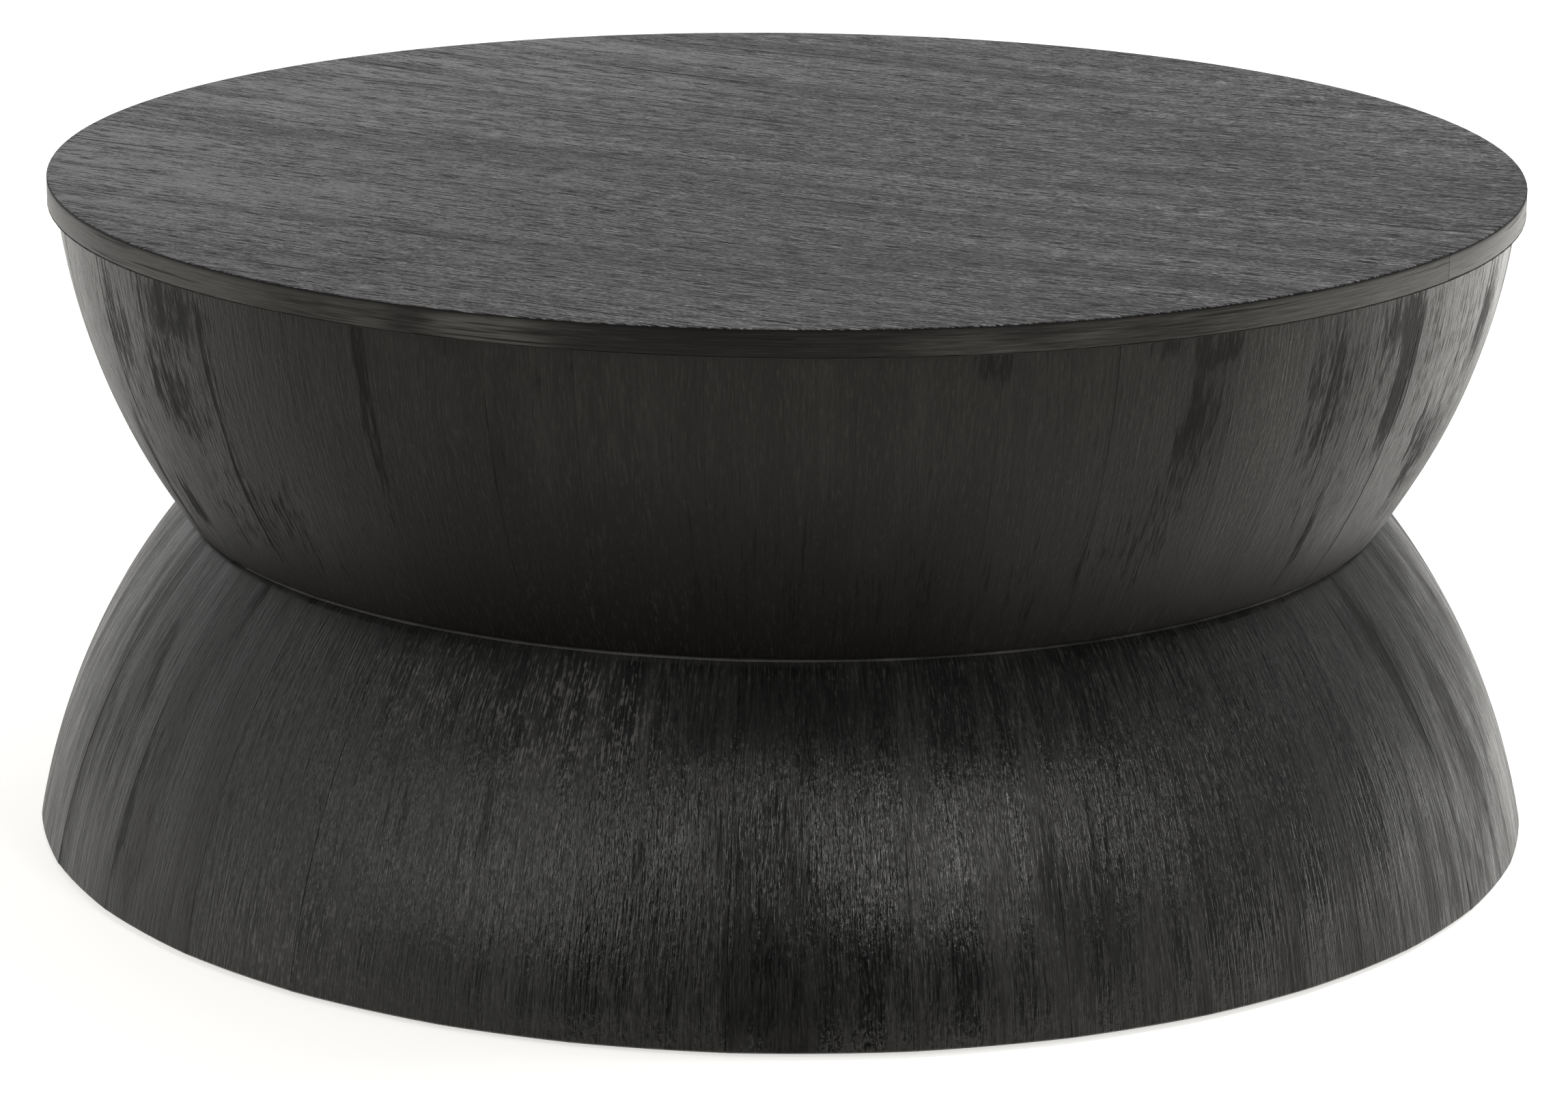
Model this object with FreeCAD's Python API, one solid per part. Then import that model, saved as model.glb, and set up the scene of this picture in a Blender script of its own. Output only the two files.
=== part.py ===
# African drum coffee table in black-stained wood.
# Two shells are coopered from tapered staves: a bell that stands on the floor and a bowl that stands on it, neck to
# neck, so that the outline narrows to a waist like an hourglass drum. A veneered round top closes the bowl. Nothing
# on it moves. Each stave is flat across and curved along its length, and its joints are mitred to run to the axis.
# Frame: +Z up, origin on the floor under the middle of the table, front towards -Y. Lengths are in millimetres,
# and angles are in degrees, measured from the front towards +X.
import FreeCAD, Part
import math
import os

# Overall outline
TABLE_HEIGHT = 400.0
BASE_DIAMETER = 910.0  # lower shell at its foot, over the joints between staves
TOP_DIAMETER = 880.0
WAIST_HEIGHT = 197.0  # seam between the two shells
LOWER_NECK_DIAMETER = 722.0  # where the curved side would meet the flat neck, before its edge is rounded
UPPER_NECK_DIAMETER = 728.0
RIM_OVERHANG = 3.2  # top beyond the upper shell's mouth

# Sides of the shells, each one arc from mouth to neck
LOWER_SIDE_RADIUS = 398.0
UPPER_SIDE_RADIUS = 395.0
LOWER_NECK_ROUNDING = 14.0
UPPER_NECK_ROUNDING = 6.0

# Staves, of uneven widths, which follow each other round the table from the first joint
STAVE_WALL = 30.0  # thickness at the ends, from the flat inner face to the line through mouth and neck
LOWER_FIRST_JOINT_ANGLE = -47.6
UPPER_FIRST_JOINT_ANGLE = -64.0
LOWER_STAVE_SHARES = (109, 123, 98, 110, 129, 113, 112, 97, 106, 104, 118, 107, 124, 110, 102, 121,
                      115, 109, 126, 104, 117, 112, 99, 122, 113, 119, 106, 116, 108, 123, 111, 117)
UPPER_STAVE_SHARES = (78, 86, 86, 76, 97, 68, 92, 107, 103, 88, 103, 66, 74, 64, 112, 104, 118, 107,
                      99, 115, 110, 121, 103, 108, 114, 97, 119, 111, 106, 113, 101, 116, 109, 105, 120, 104)
NODE_STAVE_COUNT = 2  # neighbours kept together in one node, each a solid of its own

# Waist plates: plywood, a corner at each joint, in rabbets cut across the staves' necks, bolted face to face
WAIST_PLATE_DIAMETER = 690.0  # over the corners
WAIST_PLATE_THICKNESS = 18.0
RABBET_CLEARANCE = 0.1

# Waist bolts and nuts
BOLT_COUNT = 3
BOLT_CIRCLE_DIAMETER = 560.0
BOLT_FIRST_ANGLE = 60.0
BOLT_DIAMETER = 8.0
BOLT_LENGTH = 45.0
BOLT_HOLE_CLEARANCE = 0.5
HEX_ACROSS_FLATS = 13.0
BOLT_HEAD_HEIGHT = 5.3
NUT_HEIGHT = 6.5
THREAD_CLEARANCE = 0.05

# Top: veneered board with solid lipping round its edge
FACE_VENEER = 0.5
BACKING_VENEER = 0.5
CORE_THICKNESS = 15.0
LIPPING_THICKNESS = 8.0
LIPPING_COUNT = 2
LIPPING_FIRST_JOINT_ANGLE = 57.0

# Glue blocks in the corner under the top, each on the middle of the stave nearest to its place in an even ring
BLOCK_COUNT = 6
BLOCK_FIRST_ANGLE = -28.0
BLOCK_WIDTH = 55.0
BLOCK_HEIGHT = 28.0
BLOCK_DEPTH = 46.0  # along the underside of the top

# Floor pads of felt, glued to the end grain of lower staves that are chosen in the same way
PAD_COUNT = 8
PAD_FIRST_ANGLE = -30.0
PAD_SIDE = 20.0
PAD_THICKNESS = 3.0
PAD_INSET = 12.0  # from the foot's outer edge to the pad

CUT_OVERRUN = 5.0  # how far a cutter runs past what it cuts
FULL_TURN = 360.0
HEXAGON_SIDE_COUNT = 6

# Levels of the top
UPPER_MOUTH_HEIGHT = TABLE_HEIGHT - FACE_VENEER - CORE_THICKNESS - BACKING_VENEER
CORE_UNDERSIDE = UPPER_MOUTH_HEIGHT + BACKING_VENEER
CORE_TOPSIDE = CORE_UNDERSIDE + CORE_THICKNESS

ORIGIN = FreeCAD.Vector(0, 0, 0)
UP = FreeCAD.Vector(0, 0, 1)


class Shell:
    """One coopered shell. Its outline over a joint lies in the XZ plane: a wide mouth, a narrow neck at the waist,
    and the arc between them that every stave follows."""

    def __init__(self, mouth_radius, mouth_height, neck_radius, side_radius, neck_rounding, first_joint, shares):
        self.mouth = FreeCAD.Vector(mouth_radius, 0, mouth_height)
        self.neck = FreeCAD.Vector(neck_radius, 0, WAIST_HEIGHT)
        self.side_radius = side_radius
        self.neck_rounding = neck_rounding
        self.away = math.copysign(1, mouth_height - WAIST_HEIGHT)  # the mouth's side of the waist, up or down
        self.joints = [first_joint]
        for share in shares:
            self.joints.append(self.joints[-1] + FULL_TURN * share / sum(shares))

    def directions(self):
        """Unit vectors along the line from neck to mouth, and square to it, towards the table's axis."""
        along = (self.mouth - self.neck).normalize()
        inward = FreeCAD.Vector(-abs(along.z), 0, self.away * along.x)
        return along, inward

    def side_centre(self):
        """Centre of the side's arc."""
        along, inward = self.directions()
        half_chord = (self.mouth - self.neck).Length / 2
        depth = math.sqrt(self.side_radius**2 - half_chord**2)
        return (self.mouth + self.neck) * 0.5 + inward * depth

    def inner_point(self, height):
        """The point of the staves' inner face at this height."""
        along, inward = self.directions()
        start = self.neck + inward * STAVE_WALL
        return start + along * ((height - start.z) / along.z)

    def staves(self):
        """The angle of each stave's middle, and its width in degrees."""
        return [((start + end) / 2, end - start) for start, end in zip(self.joints, self.joints[1:])]

    def staves_near(self, first_angle, count):
        """The staves nearest to evenly spaced angles."""
        found = []
        for number in range(count):
            angle = first_angle + FULL_TURN * number / count
            found.append(min(self.staves(), key=lambda stave: abs(math.remainder(stave[0] - angle, FULL_TURN))))
        return found


def lower_shell():
    return Shell(BASE_DIAMETER / 2, PAD_THICKNESS, LOWER_NECK_DIAMETER / 2, LOWER_SIDE_RADIUS,
                 LOWER_NECK_ROUNDING, LOWER_FIRST_JOINT_ANGLE, LOWER_STAVE_SHARES)


def upper_shell():
    return Shell(TOP_DIAMETER / 2 - RIM_OVERHANG, UPPER_MOUTH_HEIGHT, UPPER_NECK_DIAMETER / 2, UPPER_SIDE_RADIUS,
                 UPPER_NECK_ROUNDING, UPPER_FIRST_JOINT_ANGLE, UPPER_STAVE_SHARES)


def at_angle(shape, angle):
    """A copy of a shape drawn on the +X side, turned to an angle that counts from the front."""
    placed = shape.copy()
    placed.rotate(ORIGIN, UP, angle - 90)
    return placed


def flat_factor(width):
    """How much nearer to the axis a stave's middle lies than its joints."""
    return math.cos(math.radians(width / 2))


def drawn_in(point, width):
    """A point of the outline over a joint, moved to where the middle of a flat stave has it."""
    return FreeCAD.Vector(point.x * flat_factor(width), 0, point.z)


def cylinder(radius, bottom, top, x=0.0):
    return Part.makeCylinder(radius, top - bottom, FreeCAD.Vector(x, 0, bottom), UP)


def prism(corners, direction):
    """A polygon swept in a straight line."""
    return Part.Face(Part.makePolygon(corners + [corners[0]])).extrude(direction)


def arc_middle(centre, start, end):
    """The point halfway along the short arc from start to end."""
    bisector = ((start - centre) + (end - centre)).normalize()
    return centre + bisector * (start - centre).Length


def stave_section(shell, width):
    """A stave's lengthwise section at its middle: arc outside, rounded neck, rabbet for the plate, flat inside."""
    centre = shell.side_centre()
    rounding_height = shell.neck.z + shell.away * shell.neck_rounding
    reach = math.sqrt((shell.side_radius - shell.neck_rounding)**2 - (rounding_height - centre.z)**2)
    rounding_centre = FreeCAD.Vector(centre.x + reach, 0, rounding_height)
    side_end = centre + (rounding_centre - centre).normalize() * shell.side_radius
    neck_end = FreeCAD.Vector(rounding_centre.x, 0, shell.neck.z)
    side_middle = arc_middle(centre, shell.mouth, side_end)
    rounding_middle = arc_middle(rounding_centre, side_end, neck_end)

    rabbet_x = WAIST_PLATE_DIAMETER / 2 + RABBET_CLEARANCE
    rabbet_floor = shell.neck.z + shell.away * WAIST_PLATE_THICKNESS
    outline = [
        shell.mouth,
        side_middle,
        side_end,
        rounding_middle,
        neck_end,
        FreeCAD.Vector(rabbet_x, 0, shell.neck.z),
        FreeCAD.Vector(rabbet_x, 0, rabbet_floor),
        shell.inner_point(rabbet_floor),
        shell.inner_point(shell.mouth.z),
    ]
    points = [drawn_in(point, width) for point in outline]
    side = Part.Arc(points[0], points[1], points[2]).toShape()
    rounding = Part.Arc(points[2], points[3], points[4]).toShape()
    back = Part.makePolygon(points[4:] + [points[0]]).Edges
    return Part.Face(Part.Wire([side, rounding] + back))


def joint_wedge(shell, width):
    """All that lies between the two planes through the axis that the stave's joints follow."""
    low = min(shell.mouth.z, shell.neck.z) - CUT_OVERRUN
    high = max(shell.mouth.z, shell.neck.z) + CUT_OVERRUN
    reach = 2 * shell.mouth.x
    side = reach * math.tan(math.radians(width / 2))
    corners = [
        FreeCAD.Vector(0, 0, low),
        FreeCAD.Vector(reach, -side, low),
        FreeCAD.Vector(reach, side, low),
    ]
    return prism(corners, FreeCAD.Vector(0, 0, high - low))


def stave(shell, width):
    """One stave, its middle on the +X side."""
    half_board = shell.mouth.x * math.sin(math.radians(width / 2)) + CUT_OVERRUN
    section = stave_section(shell, width)
    section.translate(FreeCAD.Vector(0, -half_board, 0))
    board = section.extrude(FreeCAD.Vector(0, 2 * half_board, 0))
    return board.common(joint_wedge(shell, width))


def staves(shell):
    """All staves of a shell in turn."""
    return [at_angle(stave(shell, width), middle) for middle, width in shell.staves()]


def in_groups(solids, size):
    """Neighbours side by side in one group, each still a solid of its own."""
    return [Part.makeCompound(solids[start:start + size]) for start in range(0, len(solids), size)]


def bolt_angles():
    return [BOLT_FIRST_ANGLE + FULL_TURN * number / BOLT_COUNT for number in range(BOLT_COUNT)]


def waist_plate(shell):
    """The plate in one shell's necks, a corner at each joint, with its ring of bolt holes."""
    bottom = min(shell.neck.z, shell.neck.z + shell.away * WAIST_PLATE_THICKNESS)
    top = bottom + WAIST_PLATE_THICKNESS
    corners = []
    for joint in shell.joints[:-1]:
        turn = math.radians(joint - 90)
        corners.append(FreeCAD.Vector(math.cos(turn), math.sin(turn), 0) * (WAIST_PLATE_DIAMETER / 2) + UP * bottom)
    plate = prism(corners, UP * WAIST_PLATE_THICKNESS)
    hole = cylinder(BOLT_DIAMETER / 2 + BOLT_HOLE_CLEARANCE, bottom - CUT_OVERRUN, top + CUT_OVERRUN,
                    BOLT_CIRCLE_DIAMETER / 2)
    return plate.cut(ring_of(hole, bolt_angles()))


def hexagon(bottom, height):
    """Hexagonal prism on the bolt circle."""
    corner_radius = HEX_ACROSS_FLATS / 2 / math.cos(math.pi / HEXAGON_SIDE_COUNT)
    corners = []
    for number in range(HEXAGON_SIDE_COUNT):
        turn = math.radians(FULL_TURN * number / HEXAGON_SIDE_COUNT)
        across = FreeCAD.Vector(math.cos(turn), math.sin(turn), 0) * corner_radius
        corners.append(across + FreeCAD.Vector(BOLT_CIRCLE_DIAMETER / 2, 0, bottom))
    return prism(corners, UP * height)


def waist_bolt():
    """Hexagon bolt, head down, pushed up through both plates."""
    seat = WAIST_HEIGHT - WAIST_PLATE_THICKNESS
    head = hexagon(seat - BOLT_HEAD_HEIGHT, BOLT_HEAD_HEIGHT)
    shank = cylinder(BOLT_DIAMETER / 2, seat, seat + BOLT_LENGTH, BOLT_CIRCLE_DIAMETER / 2)
    return head.fuse(shank).removeSplitter()


def waist_nut():
    seat = WAIST_HEIGHT + WAIST_PLATE_THICKNESS
    bore = cylinder(BOLT_DIAMETER / 2 + THREAD_CLEARANCE, seat - CUT_OVERRUN, seat + NUT_HEIGHT + CUT_OVERRUN,
                    BOLT_CIRCLE_DIAMETER / 2)
    return hexagon(seat, NUT_HEIGHT).cut(bore)


def lippings():
    """Solid strips bent round the core, butted end to end."""
    outer = TOP_DIAMETER / 2
    inner = outer - LIPPING_THICKNESS
    corners = [
        FreeCAD.Vector(inner, 0, CORE_UNDERSIDE),
        FreeCAD.Vector(outer, 0, CORE_UNDERSIDE),
        FreeCAD.Vector(outer, 0, CORE_TOPSIDE),
        FreeCAD.Vector(inner, 0, CORE_TOPSIDE),
    ]
    section = Part.Face(Part.makePolygon(corners + [corners[0]]))
    length = FULL_TURN / LIPPING_COUNT
    strip = section.revolve(ORIGIN, UP, length)
    return [at_angle(strip, LIPPING_FIRST_JOINT_ANGLE + length * number) for number in range(LIPPING_COUNT)]


def glue_block(width):
    """Block under the top, its back planed to the slant of a stave of this width."""
    shell = upper_shell()
    top = shell.mouth.z
    bottom = top - BLOCK_HEIGHT
    back_top = drawn_in(shell.inner_point(top), width)
    back_bottom = drawn_in(shell.inner_point(bottom), width)
    corners = [
        FreeCAD.Vector(back_top.x - BLOCK_DEPTH, 0, bottom),
        back_bottom,
        back_top,
        FreeCAD.Vector(back_top.x - BLOCK_DEPTH, 0, top),
    ]
    sideways = FreeCAD.Vector(0, BLOCK_WIDTH / 2, 0)
    return prism([corner - sideways for corner in corners], sideways * 2)


def glue_blocks():
    chosen = upper_shell().staves_near(BLOCK_FIRST_ANGLE, BLOCK_COUNT)
    return [at_angle(glue_block(width), middle) for middle, width in chosen]


def floor_pad(width):
    """Square pad under the foot of a stave of this width."""
    foot = drawn_in(lower_shell().mouth, width).x
    half = PAD_SIDE / 2
    corners = [
        FreeCAD.Vector(foot - PAD_INSET - PAD_SIDE, -half, 0),
        FreeCAD.Vector(foot - PAD_INSET, -half, 0),
        FreeCAD.Vector(foot - PAD_INSET, half, 0),
        FreeCAD.Vector(foot - PAD_INSET - PAD_SIDE, half, 0),
    ]
    return prism(corners, UP * PAD_THICKNESS)


def floor_pads():
    chosen = lower_shell().staves_near(PAD_FIRST_ANGLE, PAD_COUNT)
    return Part.makeCompound([at_angle(floor_pad(width), middle) for middle, width in chosen])


def ring_of(shape, angles):
    """Copies of one shape round the axis, kept as separate solids."""
    return Part.makeCompound([at_angle(shape, angle) for angle in angles])


def numbered(prefix, solids):
    return {f"{prefix}_{number:02d}": solid for number, solid in enumerate(solids, start=1)}


def all_nodes():
    nodes = {}
    nodes.update(numbered("lower_staves", in_groups(staves(lower_shell()), NODE_STAVE_COUNT)))
    nodes.update(numbered("upper_staves", in_groups(staves(upper_shell()), NODE_STAVE_COUNT)))
    nodes["lower_waist_plate"] = waist_plate(lower_shell())
    nodes["upper_waist_plate"] = waist_plate(upper_shell())
    nodes["waist_bolts"] = ring_of(waist_bolt(), bolt_angles())
    nodes["waist_nuts"] = ring_of(waist_nut(), bolt_angles())
    nodes["top_face_veneer"] = cylinder(TOP_DIAMETER / 2, CORE_TOPSIDE, TABLE_HEIGHT)
    nodes["top_core"] = cylinder(TOP_DIAMETER / 2 - LIPPING_THICKNESS, CORE_UNDERSIDE, CORE_TOPSIDE)
    nodes["top_backing_veneer"] = cylinder(TOP_DIAMETER / 2, UPPER_MOUTH_HEIGHT, CORE_UNDERSIDE)
    nodes.update(numbered("top_lipping", lippings()))
    nodes.update(numbered("glue_block", glue_blocks()))
    nodes["floor_pads"] = floor_pads()
    return nodes


def main():
    os.makedirs("parts", exist_ok=True)
    for name, shape in all_nodes().items():
        shape.exportStep(f"parts/{name}.step")


main()
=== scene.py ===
import math
import random

import bmesh
import bpy
from mathutils import Matrix, Vector, noise


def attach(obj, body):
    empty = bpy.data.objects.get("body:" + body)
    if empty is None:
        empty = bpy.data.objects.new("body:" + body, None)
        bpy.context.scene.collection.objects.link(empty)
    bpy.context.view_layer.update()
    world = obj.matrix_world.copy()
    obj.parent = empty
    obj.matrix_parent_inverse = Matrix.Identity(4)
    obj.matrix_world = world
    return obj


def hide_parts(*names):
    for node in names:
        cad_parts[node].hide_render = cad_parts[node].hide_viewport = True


# Camera
SENSOR_WIDTH = 36.0
LENS = 123.235
CAMERA_PLACE = Vector((0.0, -3.16027, 1.03846))
CAMERA_PITCH = 15.5618  # below the horizontal
CAMERA_YAW = 0.0078
CAMERA_ROLL = -0.5764

# Outline of the shells over a joint, the same as the solids'
LOWER_MOUTH = (0.455, 0.003)
LOWER_NECK = (0.361, 0.197)
LOWER_SIDE_RADIUS = 0.398
LOWER_ROUNDING = 0.014
LOWER_FIRST_JOINT = -47.6
LOWER_SHARES = (109, 123, 98, 110, 129, 113, 112, 97, 106, 104, 118, 107, 124, 110, 102, 121,
                115, 109, 126, 104, 117, 112, 99, 122, 113, 119, 106, 116, 108, 123, 111, 117)
UPPER_MOUTH = (0.4368, 0.384)
UPPER_NECK = (0.364, 0.197)
UPPER_SIDE_RADIUS = 0.395
UPPER_ROUNDING = 0.006
UPPER_FIRST_JOINT = -64.0
UPPER_SHARES = (78, 86, 86, 76, 97, 68, 92, 107, 103, 88, 103, 66, 74, 64, 112, 104, 118, 107,
                99, 115, 110, 121, 103, 108, 114, 97, 119, 111, 106, 113, 101, 116, 109, 105, 120, 104)
STAVE_WALL = 0.030
STAVES_IN_NODE = 2
RABBET_RADIUS = 0.3451
RABBET_DEPTH = 0.018

# How the staves were finished: planed nearly round, a little wavy, arrises eased, joints a little proud of each other
ROUND_FACTOR = 0.9958
LOWER_FLATNESS = 0.22  # 0 is turned round, 1 is flat across
UPPER_FLATNESS = 0.12
STEP_AT_JOINT = 0.00008
WAVE_HEIGHT = 0.00012
WAVES_IN_DEGREE = 0.22
WAVES_IN_METRE = 14.0
WAVE_SEED_STEP = 3.1
SEED_START = 0.3
SEED_STEP = 1.7
JOINT_EASE = 0.00010
LOWER_OPEN_EASE = 0.00035
UPPER_OPEN_EASE = 0.00018
LOWER_OPEN_JOINTS = (-47.6, -36.7, -3.6, 9.3, 20.6, 62.5)
UPPER_OPEN_JOINTS = (-64.0, -47.6, -31.4, -21.7, -14.9, 34.4, 54.8)
OPEN_JOINT_REACH = 0.6  # how far from a listed angle a joint may be to be the open one
MOUTH_EASE = 0.0010
SIDE_ROW_COUNT = 30
ROUNDING_ROW_COUNT = 8
STAVE_COLUMN_COUNT = 6
STAVE_SHARP_ANGLE = 28.0

# Top: a face veneer inside a lipping of two strips, with the glue line between them set back a little
TOP_RADIUS = 0.44
TOP_HEIGHT = 0.400
TOP_THICKNESS = 0.016
SHARP_ANGLE = 40.0
GLUE_LINE_SETBACK = 0.0004
VENEER_BOTTOM = 0.3995
VENEER_COLUMN_COUNT = 180
VENEER_RING_STEP = 0.05
VENEER_RING_COUNT = 8
BACKING_TOP = 0.3845
LIPPING_INNER_RADIUS = 0.432
LIPPING_MIDDLE_RADIUS = 0.436
LIPPING_JOINTS = (57.0, 237.0)
LIPPING_COLUMN_COUNT = 90
LIPPING_GAP_ANGLE = 0.005
LIPPING_EASE_ANGLE = 0.035
LIPPING_EASE = 0.0002
LIPPING_SEED_STEP = 7.0
ARRIS_ROUNDING = 0.0015
ARRIS_ROW_COUNT = 8
LOWER_ARRIS = 0.0007
LOWER_ARRIS_ROW_COUNT = 3
TOP_GRAIN_ANGLE = -28.0  # along the veneer's grain, from +X

# Dark and pale marks on the outsides: angle, share of the height from the top, half width in degrees,
# half height as a share, and strength (below zero is pale). A mark is at full strength within its core and gone
# at its reach, both as shares of its half width and half height.
MARK_CORE = 0.35
MARK_REACH = 1.35
UPPER_MARKS = (
    (-62.0, 0.20, 2.4, 0.20, 0.6),
    (-66.5, 0.60, 1.8, 0.28, 0.4),
    (-48.6, 0.50, 0.5, 0.60, 0.8),
    (-52.0, 0.08, 3.5, 0.12, 0.6),
    (-54.0, 0.40, 4.0, 0.16, 0.4),
    (-31.6, 0.28, 0.4, 0.38, 1.0),
    (-21.8, 0.30, 0.35, 0.26, 0.8),
    (-15.2, 0.03, 0.6, 0.07, 0.9),
    (-24.5, 0.02, 2.0, 0.06, 0.6),
    (14.7, 0.04, 1.8, 0.06, 0.9),
    (8.4, 0.14, 0.8, 0.12, 0.4),
    (28.0, 0.03, 1.6, 0.05, 0.8),
    (32.4, 0.05, 2.2, 0.08, 1.0),
    (32.0, 0.32, 2.4, 0.18, 0.6),
    (43.5, 0.25, 3.0, 0.32, 0.6),
    (48.0, 0.80, 0.7, 0.26, 0.9),
    (53.0, 0.10, 2.2, 0.12, 0.8),
    (53.8, 0.30, 1.2, 0.25, 0.8),
    (60.0, 0.50, 0.7, 0.14, 0.8),
    (63.2, 0.60, 3.0, 0.14, 0.6),
    (70.0, 0.20, 2.2, 0.18, 0.6),
    (-60.5, 0.80, 2.4, 0.08, 0.9),
    (-57.6, 0.78, 1.2, 0.07, -0.7),
    (-15.2, 0.80, 0.9, 0.24, -0.6),
    (-10.8, 0.86, 0.6, 0.18, -0.6),
    (-8.6, 0.82, 0.8, 0.26, -0.6),
    (38.0, 0.30, 2.6, 0.45, -0.8),
    (30.8, 0.18, 2.0, 0.20, 0.5),
    (39.0, 0.30, 2.6, 0.50, -0.6),
    (29.0, 0.62, 5.0, 0.24, 0.35),
    (52.0, 0.22, 9.0, 0.36, 0.45),
    (66.0, 0.40, 8.0, 0.50, 0.48),
    (-68.0, 0.35, 9.0, 0.50, 0.45),
    (-52.0, 0.26, 8.0, 0.34, 0.50),
    (-47.0, 0.74, 9.0, 0.20, 0.45),
    # painted shade: a wide dark mark at the front near the waist
    (4.0, 0.88, 22.0, 0.30, 0.45),
    (-3.0, 0.40, 8.0, 0.30, 0.30),
    (20.0, 0.20, 7.0, 0.30, 0.25),
)
# On the lipping the pale marks are painted highlights along the rim; the dark ones darken its front.
LIPPING_MARKS = (
    (-48.0, 0.5, 9.0, 9.0, -0.9),
    (-31.5, 0.5, 3.0, 9.0, -0.2),
    (-21.0, 0.5, 4.0, 9.0, -0.9),
    (-9.5, 0.5, 7.0, 9.0, 0.9),
    (2.0, 0.5, 8.0, 9.0, 0.9),
    (-27.0, 0.6, 2.0, 1.0, 0.5),
    (17.0, 0.3, 2.4, 0.5, 0.5),
    (27.0, 0.7, 4.0, 0.5, 0.4),
    (44.0, 0.5, 12.0, 9.0, -0.5),
)
LOWER_MARKS = (
    (-66.0, 0.50, 3.0, 0.52, 0.7),
    (-62.0, 0.42, 1.0, 0.36, 0.6),
    (-47.9, 0.86, 0.6, 0.16, 0.9),
    (-50.5, 0.70, 2.4, 0.30, 0.6),
    (-30.0, 0.47, 0.9, 0.09, 0.8),
    (-23.0, 0.38, 1.5, 0.13, 0.6),
    (-6.2, 0.19, 1.3, 0.06, 0.6),
    (-5.4, 0.335, 0.25, 0.01, 1.0),
    (-3.5, 0.335, 0.2, 0.01, 1.0),
    (1.9, 0.20, 0.5, 0.14, 0.5),
    (-2.9, 0.82, 0.7, 0.20, 1.0),
    (-1.2, 0.80, 1.6, 0.18, 0.8),
    (0.6, 0.90, 2.8, 0.16, 0.8),
    (-1.0, 0.50, 4.0, 0.16, 0.35),
    (1.5, 0.12, 9.0, 0.12, 0.5),
    (-9.0, 0.62, 4.0, 0.16, 0.3),
    (24.0, 0.68, 3.4, 0.24, 0.25),
    (-17.0, 0.18, 7.0, 0.14, -0.9),
    (-30.0, 0.16, 7.0, 0.12, -0.5),
    # painted shade: wide dark matt marks at both sides, darkening the sheen there
    (72.0, 0.45, 8.0, 0.50, 0.6),
    (-72.0, 0.45, 8.0, 0.50, 0.4),
    (61.0, 0.15, 2.4, 0.14, 0.9),
    (62.6, 0.40, 1.3, 0.26, 0.7),
    (63.6, 0.55, 0.4, 0.50, 0.7),
    (56.5, 0.78, 1.6, 0.17, 0.6),
    (49.4, 0.86, 0.9, 0.07, 0.5),
    (75.0, 0.10, 3.0, 0.07, 0.8),
    (-38.0, 0.85, 9.0, 0.22, -0.4),
    (36.0, 0.90, 9.0, 0.20, -0.2),
    (52.0, 0.80, 12.0, 0.30, 0.35),
    (40.0, 0.98, 16.0, 0.16, 0.6),
    (3.2, 0.66, 2.8, 0.15, 0.4),
    (22.0, 0.60, 6.0, 0.14, 0.3),
    (-22.0, 0.52, 6.0, 0.12, 0.3),
    (61.0, 0.86, 9.0, 0.14, 0.4),
)

# Colours, as linear light
BLACK_STAIN = (0.0016, 0.0015, 0.0014)
LIPPING_STAIN = (0.0020, 0.0019, 0.0017)
LIPPING_WORN = (0.0720, 0.0690, 0.0620)
TOP_STAIN = (0.0020, 0.0020, 0.0021)
TOP_WORN = (0.046, 0.045, 0.0455)
TOP_FILAMENT = (0.150, 0.148, 0.150)
PORE_BLACK = (0.003, 0.003, 0.003)
# Painted highlight: the pale glint along the lower shell's top edge
PAINTED_HIGHLIGHT_EDGE = (0.140, 0.136, 0.130)
INSIDE_BROWN = (0.115, 0.066, 0.036)
INSIDE_DARK = (0.055, 0.030, 0.017)
PLY_PALE = (0.47, 0.33, 0.19)
PLY_DARK = (0.26, 0.15, 0.075)
BLOCK_PALE = (0.52, 0.36, 0.20)
BLOCK_DARK = (0.30, 0.18, 0.09)
BOARD_PALE = (0.36, 0.25, 0.15)
BOARD_DARK = (0.22, 0.14, 0.08)
ZINC_PALE = (0.62, 0.62, 0.60)
ZINC_DARK = (0.38, 0.39, 0.40)
FELT_PALE = (0.060, 0.058, 0.055)
FELT_DARK = (0.018, 0.018, 0.018)
WHITE = (1.0, 1.0, 1.0)

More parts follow.
